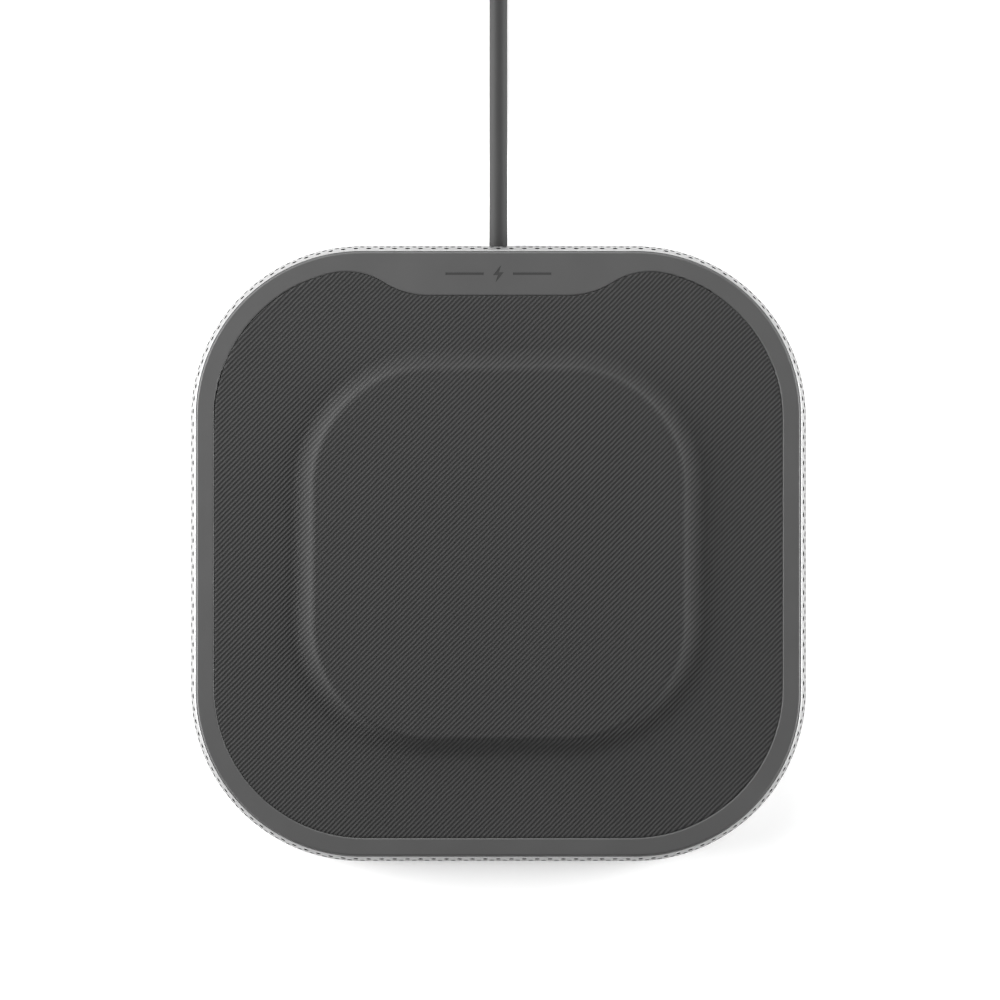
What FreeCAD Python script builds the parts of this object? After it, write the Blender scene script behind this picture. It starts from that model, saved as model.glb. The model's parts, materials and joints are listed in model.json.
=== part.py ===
"""Wireless charging pad: a rounded-square housing with a cloth top over a raised plateau, a perforated metal
band round its side, the charging coil and electronics inside, and a captive cord that ends in a USB plug.

Millimetres. +Z is up, +Y is the back, where the cord leaves, and the origin is at the middle of the pad on
the surface that it stands on.
"""

import FreeCAD, Part
import math
import os

import Sketcher

V = FreeCAD.Vector
UP = V(0, 0, 1)

# Driving dimensions: name, value in mm, what it is.
DIMENSIONS = [
    ("corner_axis", 24.4, "from the middle to the axis that each outer corner is round"),
    # the perforated band: a barrel-shaped strip
    ("band_half", 55.0, "half width at its widest"),
    ("band_bulge", 13.0, "radius of its barrel profile"),
    ("band_mid", 4.4, "height of its widest line"),
    ("band_low", 1.48, "lower edge"),
    ("band_high", 9.85, "upper edge"),
    ("band_thick", 0.5, "sheet thickness"),
    # the ring behind the band
    ("frame_gap", 0.15, "clearance between band and ring"),
    ("frame_in", 51.9, "half width of its inner wall"),
    ("frame_low", 1.45, "lower edge"),
    ("frame_high", 9.4, "upper edge"),
    # base
    ("base_low", 0.8, "underside"),
    ("flange_high", 1.4, "top of the flange under the band"),
    ("flange_half", 54.45, "half width of the flange"),
    ("flange_bevel", 0.45, "bevel of its lower edge"),
    ("floor_high", 2.2, "top of the floor"),
    ("floor_half", 51.7, "half width inside the ring"),
    ("foot_out", 43.0, "outer half width of the foot ring"),
    ("foot_in", 37.0, "inner half width of the foot ring"),
    ("foot_axis", 23.0, "corner axis of the foot ring"),
    ("foot_top", 1.6, "top of the foot ring, in its groove"),
    ("foot_round", 0.3, "rounding of the foot ring's lower edges"),
    # screws that hold base and top plate together
    ("screw_place", 35.0, "x and y of the four base screws"),
    ("screw_r", 1.0, "shank radius"),
    ("screw_head_r", 1.9, "head radius"),
    ("screw_head", 1.1, "head height"),
    ("sink_r", 2.1, "counterbore radius"),
    ("sink_top", 2.8, "top of the counterbore"),
    ("boss_r", 3.4, "radius of the bosses"),
    ("boss_meet", 4.0, "height where base and top bosses meet"),
    ("base_screw_tip", 7.6, "height of the base screws' tips"),
    ("hole_gap", 0.15, "clearance round a screw's shank"),
    ("small_post_r", 2.2, "radius of the board's and the clamp's posts"),
    ("small_screw_r", 0.7, "shank radius of their screws"),
    ("small_head_r", 1.5, "head radius of their screws"),
    ("small_head", 0.8, "head height of their screws"),
    ("small_tip", 1.6, "height of their tips"),
    ("pilot_low", 1.4, "bottom of the holes for them"),
    # top plate, cloth and bezel
    ("plate_low", 8.15, "underside of the top plate"),
    ("plate_high", 9.35, "upper side of the top plate"),
    ("plate_half", 51.7, "half width of the top plate"),
    ("backing_high", 9.8, "top of the backing sheet"),
    ("cloth_high", 10.3, "top of the cloth beside the plateau"),
    ("cloth_gap", 0.06, "clearance round the cloth"),
    ("tape_high", 9.45, "top of the tape under the bezel"),
    ("lip_low", 9.95, "underside of the bezel's outer lip"),
    ("bezel_high", 10.38, "top of the bezel"),
    ("bezel_half", 53.6, "half width of the bezel"),
    ("bezel_foot", 52.9, "half width below its lip"),
    ("bezel_round", 0.35, "rounding of its outer edge"),
    ("window_half", 50.4, "half width of the window"),
    ("window_round", 26.65, "corner radius of the window"),
    ("tab_edge", 45.8, "y of the tab's straight edge"),
    ("tab_half", 12.4, "half length of that edge"),
    ("tab_round", 14.7, "radius where the tab begins"),
    ("lobe_round", 12.45, "radius of the window's lobe beside the tab"),
    ("mark_deep", 0.2, "depth of the mark in the tab"),
    ("mark_y", 49.7, "y of the mark's middle"),
    ("mark_inlay", 0.16, "thickness of the dark inlay in the mark"),
    ("bar_near", 2.6, "x where each bar of the mark begins"),
    ("bar_far", 9.4, "x where it ends"),
    ("bar_half", 0.22, "half its width"),
    # plateau
    ("rise_half", 36.7, "half width of the plateau's foot"),
    ("rise_axis", 12.0, "corner axis of the plateau"),
    ("rise_sweep", 4.41, "radius of its hollow flank"),
    ("rise_edge", 1.47, "radius of its upper edge"),
    ("rise_run", 3.48, "width of the hollow flank"),
    # charging stack
    ("carrier_low", 7.1, "underside of the coil carrier"),
    ("carrier_high", 8.3, "its upper side"),
    ("carrier_half", 28.0, "its half width"),
    ("carrier_round", 5.0, "its corner radius"),
    ("post_place", 25.0, "x and y of its four posts"),
    ("post_r", 2.4, "post radius"),
    ("post_screw_tip", 4.4, "height of its screws' tips"),
    ("post_head_r", 1.8, "head radius of its screws"),
    ("post_head", 0.9, "head height of its screws"),
    ("carrier_rim", 0.8, "height of the rim round the ferrite plate"),
    ("sensor_hole_r", 2.5, "hole for the thermistor"),
    ("lead_slot_half", 3.0, "half width of the slot for the coil's leads"),
    ("ferrite_r", 24.0, "radius of the ferrite plate"),
    ("ferrite_high", 9.1, "its upper side"),
    ("coil_wire", 1.1, "diameter of the coil's litz wire"),
    ("coil_in", 10.4, "radius of its first turn"),
    ("coil_pitch", 1.16, "distance between turns"),
    # board
    ("board_low", 3.2, "underside of the board"),
    ("board_high", 4.2, "its upper side"),
    ("board_half", 21.0, "its half width"),
    ("board_front", 21.5, "y of its front edge"),
    ("board_back", 42.5, "y of its back edge"),
    ("board_screw_x", 18.5, "x of its screws"),
    ("board_screw_y", 32.0, "y of its screws"),
    # cord
    ("cord_r", 1.6, "cord radius"),
    ("cord_z", 4.4, "height of the cord where it leaves"),
    ("cord_out", 54.75, "y where the cord leaves the grommet"),
    ("grommet_r", 2.65, "radius of the grommet's barrel"),
    ("clamp_y", 46.6, "y of the cord clamp"),
    ("clamp_screw_x", 4.6, "x of its screws"),
    ("clamp_half", 1.9, "half its length along the cord"),
    ("clamp_reach", 6.6, "half its width"),
    ("clamp_thick", 1.3, "what stands over the cord"),
    ("clamp_gap", 0.4, "what stands under the cord's lowest line"),
    ("inner_end", 44.4, "y where the jacket ends inside"),
    # the tie round the put-away coil
    ("tie_wide", 8.0, "width of the strap"),
    ("tie_thick", 0.6, "its thickness"),
    ("tie_round", 0.5, "rounding of its long edges' corners"),
    # plug
    ("boot_long", 5.0, "length of the plug's strain relief"),
    ("boot_thin_r", 2.1, "its radius at the cord"),
    ("boot_thick_r", 3.2, "its radius at the grip"),
    ("grip_long", 21.0, "length of the grip"),
    ("grip_wide", 16.0, "its width"),
    ("grip_tall", 7.98, "its height"),
    ("grip_round", 1.6, "rounding along it"),
    ("grip_nose", 0.8, "rounding of its front edge"),
    ("shell_long", 12.0, "length of the steel shell outside the grip"),
    ("shell_seat", 3.0, "what sits inside the grip"),
    ("shell_wide", 12.0, "its width"),
    ("shell_tall", 4.5, "its height"),
    ("shell_wall", 0.3, "its wall"),
    ("shell_round", 0.5, "rounding along it"),
    ("latch_long", 2.2, "length of the shell's square windows"),
    ("latch_wide", 2.4, "their width"),
    ("latch_place", 5.2, "from the shell's mouth to them"),
    ("latch_aside", 2.6, "from the middle to each one's middle"),
    ("tongue_back", 0.4, "how far the tongue sits back from the mouth"),
    ("tongue_low", 0.1, "its lower face above the plug's middle"),
    ("tongue_gap", 0.05, "clearance at its sides"),
    ("contact_long", 8.5, "length of each contact"),
    ("contact_wide", 1.0, "its width"),
    ("contact_thick", 0.12, "its thickness"),
    ("contact_pitch", 2.333, "distance between contacts"),
    ("contact_back", 1.2, "from the shell's mouth to them"),
]

COIL_TURNS = 10
FEET = [(1, 1), (-1, 1), (-1, -1), (1, -1)]

# The cord's route from the grommet to its put-away coil, chosen by hand.
ROUTE = [(0, 54.75, 4.4), (0, 62.5, 4.4), (0, 76, 1.6), (0, 107, 1.6), (0, 116.5, 2.3), (0, 123, 2.3)]
# The put-away coil: its middle, the radius of its outermost turn, the distance between turns.
WOUND_AT = V(-26.4, 137, 0)
WOUND_OUT, WOUND_IN = 26.4, 11.55
WOUND_LOW, WOUND_HIGH = 2.3, 5.6
WOUND_SPARE = 0.15
WOUND_ROUND = 1.2
TIE_TURN = 215
# The short stretch from the coil to the plug.
TAIL = [(-40.4, 163.4, 5.6), (-45.2, 163.4, 5.6), (-51.2, 163.4, 4.0), (-56, 163.4, 4.0)]
PLUG_BACK = V(-56, 163.4, 4.0)

doc = FreeCAD.newDocument("charging_pad")
sheet = doc.addObject("Spreadsheet::Sheet", "Sizes")


class Size:
    """A length: its value now, and the expression that keeps it bound to the sheet."""

    def __init__(self, value, text=None):
        self.value = float(value)
        self.text = text if text else f"({self.value!r})"

    def join(self, other, sign, value):
        return Size(value, f"({self.text} {sign} {as_size(other).text})")

    def __add__(self, other):
        return self.join(other, "+", self.value + as_size(other).value)

    def __sub__(self, other):
        return self.join(other, "-", self.value - as_size(other).value)

    def __mul__(self, other):
        return self.join(other, "*", self.value * as_size(other).value)

    def __truediv__(self, other):
        return self.join(other, "/", self.value / as_size(other).value)

    def __neg__(self):
        return Size(-self.value, f"(-1 * {self.text})")


def as_size(value):
    return value if isinstance(value, Size) else Size(value)


def root(size):
    return Size(math.sqrt(size.value), f"sqrt({size.text})")


class Dimensions:
    """Every driving dimension by name, as a Size."""


def fill_sheet():
    found = Dimensions()
    for row, (name, value, note) in enumerate(DIMENSIONS, 1):
        sheet.set(f"A{row}", name)
        sheet.set(f"B{row}", str(value))
        sheet.set(f"C{row}", note)
        sheet.setAlias(f"B{row}", name)
        setattr(found, name, Size(value, f"Sizes.{name}"))
    doc.recompute()
    return found


d = fill_sheet()


def bind(obj, **properties):
    """Binds properties of obj to the sheet: a double underscore stands for the dot in a property's path."""
    for path, size in properties.items():
        obj.setExpression(path.replace("__", "."), as_size(size).text)
    return obj


# ---------------------------------------------------------------- sketches


def new_body(label):
    body = doc.addObject("PartDesign::Body", label)
    body.Label = label
    return body


def origin_of(body, role):
    return next(f for f in body.Origin.OriginFeatures if f.Role == role)


def flat_sketch(body, name, z):
    """A sketch parallel to the XY plane, at height z."""
    sketch = body.newObject("Sketcher::SketchObject", name)
    sketch.AttachmentSupport = (origin_of(body, "XY_Plane"), [""])
    sketch.MapMode = "FlatFace"
    return bind(sketch, AttachmentOffset__Base__z=z)


def upright_sketch(body, name, x, y):
    """A sketch in the plane at y that faces the front, with its origin at x: its axes run along +X and +Z."""
    sketch = body.newObject("Sketcher::SketchObject", name)
    sketch.AttachmentSupport = (origin_of(body, "XZ_Plane"), [""])
    sketch.MapMode = "FlatFace"
    return bind(sketch, AttachmentOffset__Base__x=x, AttachmentOffset__Base__z=-as_size(y))


def constrain(sketch, kind, *where):
    """Adds a constraint; a Size at the end becomes its value, bound to the sheet."""
    size = where[-1] if isinstance(where[-1], Size) else None
    numbers = [w.value if isinstance(w, Size) else w for w in where]
    index = sketch.addConstraint(Sketcher.Constraint(kind, *numbers))
    if size is not None:
        sketch.setExpression(f"Constraints[{index}]", size.text)


def pin(sketch, geometry, vertex, x, y):
    """Fixes a sketch point at (x, y) from the sketch's origin."""
    for kind, axis, place in (("DistanceX", -2, as_size(x)), ("DistanceY", -1, as_size(y))):
        if place.value == 0:
            constrain(sketch, "PointOnObject", geometry, vertex, axis)
        else:
            constrain(sketch, kind, -1, 1, geometry, vertex, place)


def turning_arc(centre, radius, start, end):
    """The arc from start to end, anticlockwise about centre, as sketch geometry."""
    first, last = [math.atan2(p.y - centre.y, p.x - centre.x) for p in (start, end)]
    if last < first:
        last += 2 * math.pi
    return Part.ArcOfCircle(Part.Circle(centre, UP, radius), first, last)


def arc_between(start, end, bend):
    """The minor arc from start to end as sketch geometry: bend above 0 turns left, below 0 right."""
    middle, chord = (start + end) / 2, end - start
    left = V(-chord.y, chord.x, 0).normalize()
    reach = math.sqrt(max(bend * bend - chord.Length**2 / 4, 0))
    centre = middle + left * math.copysign(reach, bend)
    first, last = (start, end) if bend > 0 else (end, start)
    return turning_arc(centre, abs(bend), first, last)


def outline(sketch, corners):
    """Draws a closed outline and pins its corners, each (x, y) for a straight edge that ends there, or
    (x, y, bend) for an arc of that radius: a bend above 0 turns left, and one below 0 turns right."""
    points = [V(as_size(c[0]).value, as_size(c[1]).value, 0) for c in corners]
    ends = []
    for i, corner in enumerate(corners):
        start, end = points[i - 1], points[i]
        bend = as_size(corner[2]) if len(corner) > 2 else None
        edge = arc_between(start, end, bend.value) if bend else Part.LineSegment(start, end)
        index = sketch.addGeometry(edge, False)
        ends.append((index, 2, 1) if bend and bend.value < 0 else (index, 1, 2))
        if bend:
            radius = bend if bend.value > 0 else -bend
            constrain(sketch, "Radius", index, radius)
    for i, corner in enumerate(corners):
        index, _, last = ends[i]
        following, first, _ = ends[(i + 1) % len(ends)]
        constrain(sketch, "Coincident", index, last, following, first)
        pin(sketch, index, last, corner[0], corner[1])


def rounded_square(sketch, half, radius):
    half, flat = as_size(half), as_size(half) - radius
    outline(
        sketch,
        [
            (half, -flat, radius),
            (half, flat),
            (flat, half, radius),
            (-flat, half),
            (-half, flat, radius),
            (-half, -flat),
            (-flat, -half, radius),
            (flat, -half),
        ],
    )


def rectangle(sketch, low, high):
    """A rectangle between two opposite corners, each (x, y)."""
    outline(sketch, [low, (high[0], low[1]), high, (low[0], high[1])])


def circle(sketch, x, y, radius):
    place = V(as_size(x).value, as_size(y).value, 0)
    index = sketch.addGeometry(Part.Circle(place, UP, as_size(radius).value), False)
    constrain(sketch, "Radius", index, as_size(radius))
    pin(sketch, index, 3, x, y)


def lobe_place(half, radius, edge, tab, bend, lobe):
    """Where the window's lobe arc is centred, so that it touches the corner arc and the tab's arc."""
    corner = V(half - radius, half - radius, 0)
    tab_centre = V(tab, edge + bend, 0)
    across = tab_centre - corner
    from_corner, from_tab = radius - lobe, bend + lobe
    along = (from_corner**2 - from_tab**2 + across.Length**2) / (2 * across.Length)
    aside = math.sqrt(from_corner**2 - along**2)
    across.normalize()
    place = corner + across * along + V(across.y, -across.x, 0) * aside
    return (
        corner + (place - corner).normalize() * radius,
        place + (tab_centre - place).normalize() * lobe,
        place,
        tab_centre,
        corner,
    )


def window(sketch, gap):
    """The cloth window's outline, moved inwards by gap: a rounded square that a tab enters at the back, with
    an arc on each side that runs smoothly from the tab into the corner."""
    half, radius = d.window_half - gap, d.window_round - gap
    edge, bend, lobe = d.tab_edge - gap, d.tab_round + gap, d.lobe_round - gap
    tab, flat = d.tab_half, half - radius
    numbers = [s.value for s in (half, radius, edge, tab, bend, lobe)]
    corner_end, lobe_end, lobe_centre, tab_centre, corner_centre = lobe_place(*numbers)

    def arc(centre, size, start, end):
        return sketch.addGeometry(turning_arc(centre, size.value, start, end), False)

    def mirrored(point):
        return V(-point.x, point.y, 0)

    h, f, e, w = half.value, flat.value, edge.value, tab.value
    bottom = sketch.addGeometry(Part.LineSegment(V(-f, -h, 0), V(f, -h, 0)), False)
    low_right = arc(V(f, -f, 0), radius, V(f, -h, 0), V(h, -f, 0))
    right = sketch.addGeometry(Part.LineSegment(V(h, -f, 0), V(h, f, 0)), False)
    high_right = arc(corner_centre, radius, V(h, f, 0), corner_end)
    lobe_right = arc(lobe_centre, lobe, corner_end, lobe_end)
    tab_right = arc(tab_centre, bend, V(w, e, 0), lobe_end)
    back = sketch.addGeometry(Part.LineSegment(V(w, e, 0), V(-w, e, 0)), False)
    tab_left = arc(mirrored(tab_centre), bend, mirrored(lobe_end), V(-w, e, 0))
    lobe_left = arc(mirrored(lobe_centre), lobe, mirrored(lobe_end), mirrored(corner_end))
    high_left = arc(mirrored(corner_centre), radius, mirrored(corner_end), V(-h, f, 0))
    left = sketch.addGeometry(Part.LineSegment(V(-h, f, 0), V(-h, -f, 0)), False)
    low_left = arc(V(-f, -f, 0), radius, V(-h, -f, 0), V(-f, -h, 0))

    pinned = [
        (bottom, 2, low_right, 1, flat, -half),
        (low_right, 2, right, 1, half, -flat),
        (right, 2, high_right, 1, half, flat),
        (tab_right, 1, back, 1, tab, edge),
        (back, 2, tab_left, 2, -tab, edge),
        (high_left, 2, left, 1, -half, flat),
        (left, 2, low_left, 1, -half, -flat),
        (low_left, 2, bottom, 1, -flat, -half),
    ]
    for first, end, second, start, x, y in pinned:
        constrain(sketch, "Coincident", first, end, second, start)
        pin(sketch, first, end, x, y)
    smooth = [
        (high_right, 2, lobe_right, 1),
        (lobe_right, 2, tab_right, 2),
        (tab_left, 1, lobe_left, 1),
        (lobe_left, 2, high_left, 1),
    ]
    for joint in smooth:
        constrain(sketch, "Tangent", *joint)
    for corner in (low_right, high_right, high_left, low_left):
        constrain(sketch, "Radius", corner, radius)
    for side in (lobe_right, lobe_left):
        constrain(sketch, "Radius", side, lobe)
    # Each corner arc leaves its straight side smoothly, and each tab arc the tab's edge: their centres lie
    # straight across from where they begin.
    constrain(sketch, "DistanceY", -1, 1, high_right, 3, flat)
    constrain(sketch, "DistanceY", -1, 1, high_left, 3, flat)
    constrain(sketch, "DistanceX", -1, 1, tab_right, 3, tab)
    constrain(sketch, "DistanceX", -1, 1, tab_left, 3, -tab)
    constrain(sketch, "Radius", tab_right, bend)
    constrain(sketch, "Radius", tab_left, bend)


# ---------------------------------------------------------------- features


def volume(body):
    return body.Shape.Volume if not body.Shape.isNull() else 0.0


def pad(body, sketch, height):
    feature = body.newObject("PartDesign::Pad", "Pad_" + sketch.Name)
    feature.Profile = sketch
    bind(feature, Length=height)
    doc.recompute()
    return feature


def pocket(body, sketch, depth, upwards):
    """Cuts from the sketch's plane, upwards or downwards, and makes sure that something was cut."""
    before = volume(body)
    feature = body.newObject("PartDesign::Pocket", "Pocket_" + sketch.Name)
    feature.Profile = sketch
    feature.Reversed = upwards
    bind(feature, Length=depth)
    doc.recompute()
    if volume(body) > before - 1e-3:
        raise RuntimeError(f"{feature.Name} cut nothing")
    return feature


def hollow(body, sketch, depth, forwards):
    """A pocket from an upright sketch, towards the front or the back."""
    return pocket(body, sketch, depth, forwards)


def dress(body, kind, size, edges):
    """A PartDesign fillet or chamfer on the edges of the body's last feature that edges() picks."""
    base = body.Tip
    names = [f"Edge{i}" for i, e in enumerate(base.Shape.Edges, 1) if edges(e)]
    feature = body.newObject("PartDesign::" + kind, f"{kind}_{base.Name}")
    feature.Base = (base, names)
    bind(feature, **{"Radius" if kind == "Fillet" else "Size": size})
    doc.recompute()
    return feature


def at_height(z, least=0.0):
    """Picks the edges that lie flat at height z with every point further than least from the middle."""

    def picks(edge):
        box = edge.BoundBox
        if abs(box.ZMin - z) > 1e-4 or abs(box.ZMax - z) > 1e-4:
            return False
        spots = [edge.valueAt(t) for t in edge.ParameterRange]
        return min(max(abs(p.x), abs(p.y)) for p in spots) > least

    return picks


def swept_ring(body, name, axis, profile):
    """Carries a profile round a rounded square: a quarter turn about one corner's axis and the straight run
    beside it, four times over. The profile's points are (from the corner's axis, height)."""
    sketch = upright_sketch(body, name, axis, axis)
    outline(sketch, profile)
    doc.recompute()
    corner = body.newObject("PartDesign::Revolution", "Corner_" + name)
    corner.Profile = sketch
    corner.ReferenceAxis = (sketch, ["V_Axis"])
    corner.Angle = 90
    side = body.newObject("PartDesign::Pad", "Side_" + name)
    side.Profile = sketch
    bind(side, Length=axis * 2)
    doc.recompute()
    ring = body.newObject("PartDesign::PolarPattern", "Ring_" + name)
    ring.Originals = [corner, side]
    ring.Axis = (origin_of(body, "Z_Axis"), [""])
    ring.Angle = 360
    ring.Occurrences = 4
    body.Tip = ring
    doc.recompute()
    return ring


# ---------------------------------------------------------------- Part primitives


def placed(obj, x, y, z):
    """Puts a primitive at (x, y, z), bound to the sheet."""
    return bind(obj, Placement__Base__x=x, Placement__Base__y=y, Placement__Base__z=z)


def block(name, low, high):
    """A box between two opposite corners."""
    obj = doc.addObject("Part::Box", name)
    low, high = [as_size(v) for v in low], [as_size(v) for v in high]
    bind(obj, Length=high[0] - low[0], Width=high[1] - low[1], Height=high[2] - low[2])
    return placed(obj, *low)


def rod(name, x, y, low, high, radius):
    """An upright cylinder between two heights."""
    obj = doc.addObject("Part::Cylinder", name)
    bind(obj, Radius=radius, Height=as_size(high) - low)
    return placed(obj, x, y, low)


def cord_rod(name, start, end, z, radius):
    """A cylinder along Y on the cord's own line, between two values of y."""
    obj = doc.addObject("Part::Cylinder", name)
    obj.Placement.Rotation = FreeCAD.Rotation(V(1, 0, 0), -90)
    bind(obj, Radius=radius, Height=as_size(end) - start)
    return placed(obj, 0, start, z)


def minus(name, base, *tools):
    for i, tool in enumerate(tools, 1):
        obj = doc.addObject("Part::Cut", f"{name}_cut_{i}" if i < len(tools) else name)
        obj.Base, obj.Tool = base, tool
        base = obj
    return base


def union(name, *shapes):
    obj = doc.addObject("Part::MultiFuse", name)
    obj.Shapes = list(shapes)
    return obj


def group(label, members):
    """Identical or paired solids that share one node."""
    obj = doc.addObject("Part::Compound", label)
    obj.Label = label
    obj.Links = members
    return obj


def soften(name, base, radius):
    """Rounds the edges of a Part object that run longer than twice the radius."""
    doc.recompute()
    obj = doc.addObject("Part::Fillet", name)
    obj.Base = base
    edges = [i for i, e in enumerate(base.Shape.Edges, 1) if e.Length > 2.05 * radius]
    obj.Edges = [(i, radius, radius) for i in edges]
    doc.recompute()
    return obj


def named(obj, label):
    obj.Label = label
    return obj


def tube(label, path, radius):
    """A round tube along a wire, checked against its section times its length."""
    start = path.Edges[0]
    first = start.valueAt(start.FirstParameter)
    heading = start.tangentAt(start.FirstParameter)
    section = Part.Wire(Part.makeCircle(radius, first, heading))
    solid = path.makePipeShell([section], True, False)
    solid = Part.Solid(solid) if solid.ShapeType == "Shell" else solid
    expected = math.pi * radius**2 * path.Length
    if abs(solid.Volume - expected) > 0.01 * expected:
        raise RuntimeError(f"{label}: volume {solid.Volume:.2f}, and its path says {expected:.2f}")
    return solid


def bent_wire(label, points):
    """Straight runs joined by tangent arcs, each arc as large as its two runs allow."""
    points = [V(*p) for p in points]
    edges, at = [], points[0]
    for before, corner, after in zip(points, points[1:], points[2:]):
        into, out = corner - before, after - corner
        turn = into.getAngle(out)
        reach = 0.45 * min(into.Length, out.Length)
        radius = reach / math.tan(turn / 2)
        print(f"{label}: turn {math.degrees(turn):.1f} degrees, radius {radius:.1f} mm")
        into, out = V(into).normalize(), V(out).normalize()
        start, end = corner - into * reach, corner + out * reach
        inward = (out - into).normalize()
        middle = corner + inward * (radius / math.cos(turn / 2) - radius)
        edges += [Part.LineSegment(at, start).toShape(), Part.Arc(start, middle, end).toShape()]
        at = end
    return Part.Wire(edges + [Part.LineSegment(at, points[-1]).toShape()])


def feature(label, shape):
    obj = doc.addObject("Part::Feature", label)
    obj.Label = label
    obj.Shape = shape
    return obj


# ---------------------------------------------------------------- housing


def corners(place):
    """The four places at +-place, +-place."""
    return [(place if x > 0 else -place, place if y > 0 else -place) for x, y in FEET]


def board_holes():
    return [(d.board_screw_x, d.board_screw_y), (-d.board_screw_x, d.board_screw_y)]


def clamp_holes():
    return [(d.clamp_screw_x, d.clamp_y), (-d.clamp_screw_x, d.clamp_y)]


def clamp_low():
    return d.cord_z - d.cord_r - d.clamp_gap


def clamp_high():
    return d.cord_z + d.cord_r + d.clamp_thick


def barrel_reach(z, radius):
    """How far a barrel profile of that radius, round the band's own centre, reaches at height z, measured
    from the corner's axis."""
    centre = d.band_half - d.band_bulge - d.corner_axis
    rise = as_size(z) - d.band_mid
    return centre + root(as_size(radius) * radius - rise * rise)


def make_band():
    """A closed strip with a barrel profile; its end faces point at the profile's centre."""
    body = new_body("perforated_band")
    inner = d.band_bulge - d.band_thick
    scale = inner / d.band_bulge
    low_in = d.band_mid + (d.band_low - d.band_mid) * scale
    high_in = d.band_mid + (d.band_high - d.band_mid) * scale
    profile = [
        (barrel_reach(d.band_low, d.band_bulge), d.band_low),
        (barrel_reach(d.band_high, d.band_bulge), d.band_high, d.band_bulge),
        (barrel_reach(high_in, inner), high_in),
        (barrel_reach(low_in, inner), low_in, -inner),
    ]
    swept_ring(body, "strip", d.corner_axis, profile)
    opening = upright_sketch(body, "cord_opening", 0, d.band_half + 1)
    circle(opening, 0, d.cord_z, d.grommet_r)
    hollow(body, opening, 6, forwards=True)


def make_mid_frame():
    """The ring behind the band: straight inside, and following the band's bulge outside."""
    body = new_body("mid_frame")
    outer = d.band_bulge - d.band_thick - d.frame_gap
    inner = d.frame_in - d.corner_axis
    profile = [
        (inner, d.frame_low),
        (barrel_reach(d.frame_low, outer), d.frame_low),
        (barrel_reach(d.frame_high, outer), d.frame_high, outer),
        (inner, d.frame_high),
    ]
    swept_ring(body, "wall", d.corner_axis, profile)
    opening = upright_sketch(body, "cord_opening", 0, d.band_half + 1)
    circle(opening, 0, d.cord_z, d.grommet_r)
    hollow(body, opening, 6, forwards=True)


def make_base():
    """The tray: a flange that carries the band, a floor inside the ring, a foot groove, and bosses."""
    body = new_body("base_cover")
    flange = flat_sketch(body, "flange", d.base_low)
    rounded_square(flange, d.flange_half, d.flange_half - d.corner_axis)
    pad(body, flange, d.flange_high - d.base_low)
    dress(body, "Chamfer", d.flange_bevel, at_height(d.base_low.value))
    floor = flat_sketch(body, "floor", d.flange_high)
    rounded_square(floor, d.floor_half, d.floor_half - d.corner_axis)
    pad(body, floor, d.floor_high - d.flange_high)
    groove = flat_sketch(body, "foot_groove", 0)
    rounded_square(groove, d.foot_out, d.foot_out - d.foot_axis)
    rounded_square(groove, d.foot_in, d.foot_in - d.foot_axis)
    pocket(body, groove, d.foot_top, upwards=True)
    notch = upright_sketch(body, "cord_notch", 0, d.band_half)
    circle(notch, 0, d.cord_z, d.grommet_r)
    hollow(body, notch, 6, forwards=True)
    for name, places, radius, top in (
        ("screw_bosses", corners(d.screw_place), d.boss_r, d.boss_meet),
        ("carrier_posts", corners(d.post_place), d.post_r, d.carrier_low),
        ("board_pads", board_holes(), d.small_post_r, d.board_low),
        ("clamp_posts", clamp_holes(), d.small_post_r, clamp_low()),
    ):
        bosses = flat_sketch(body, name, d.floor_high)
        for x, y in places:
            circle(bosses, x, y, radius)
        pad(body, bosses, top - d.floor_high)
    through = d.carrier_low
    for name, places, radius, low, depth in (
        ("counterbores", corners(d.screw_place), d.sink_r, 0, d.sink_top),
        ("screw_holes", corners(d.screw_place), d.screw_r + d.hole_gap, 0, through),
        ("post_pilots", corners(d.post_place), d.screw_r, d.boss_meet, through),
        ("board_pilots", board_holes(), d.small_screw_r, d.pilot_low, through),
        ("clamp_pilots", clamp_holes(), d.small_screw_r, d.pilot_low, through),
    ):
        holes = flat_sketch(body, name, low)
        for x, y in places:
            circle(holes, x, y, radius)
        pocket(body, holes, depth, upwards=True)


def make_foot_ring():
    """A rubber ring in the base's groove, with rounded lower edges."""
    body = new_body("foot_ring")
    ring = flat_sketch(body, "foot", 0)
    rounded_square(ring, d.foot_out, d.foot_out - d.foot_axis)
    rounded_square(ring, d.foot_in, d.foot_in - d.foot_axis)
    pad(body, ring, d.foot_top)
    dress(body, "Fillet", d.foot_round, at_height(0))


def rise_profile(low, high):
    """The plateau's flank between two surfaces that are low and high above its foot: a hollow sweep that
    steepens, then a small rounded edge. Points are (from the plateau's corner axis, height)."""
    foot = d.rise_half - d.rise_axis
    sweep, edge, run = d.rise_sweep, d.rise_edge, d.rise_run
    lean = root(sweep * sweep - run * run) / sweep
    turn_x, turn_z = foot - run, sweep - sweep * lean
    top_x = turn_x - edge * run / sweep
    top_z = turn_z + edge - edge * lean
    return [
        (foot, high),
        (turn_x, turn_z + high, -sweep),
        (top_x, top_z + high, edge),
        (top_x, top_z + low),
        (turn_x, turn_z + low, -edge),
        (foot, low, sweep),
    ]


def rise_height():
    """How far the plateau stands above the surface round it."""
    lean = root(d.rise_sweep * d.rise_sweep - d.rise_run * d.rise_run) / d.rise_sweep
    return d.rise_sweep - d.rise_sweep * lean + d.rise_edge - d.rise_edge * lean


def rise_top_half():
    return d.rise_half - d.rise_run - d.rise_edge * d.rise_run / d.rise_sweep


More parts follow.
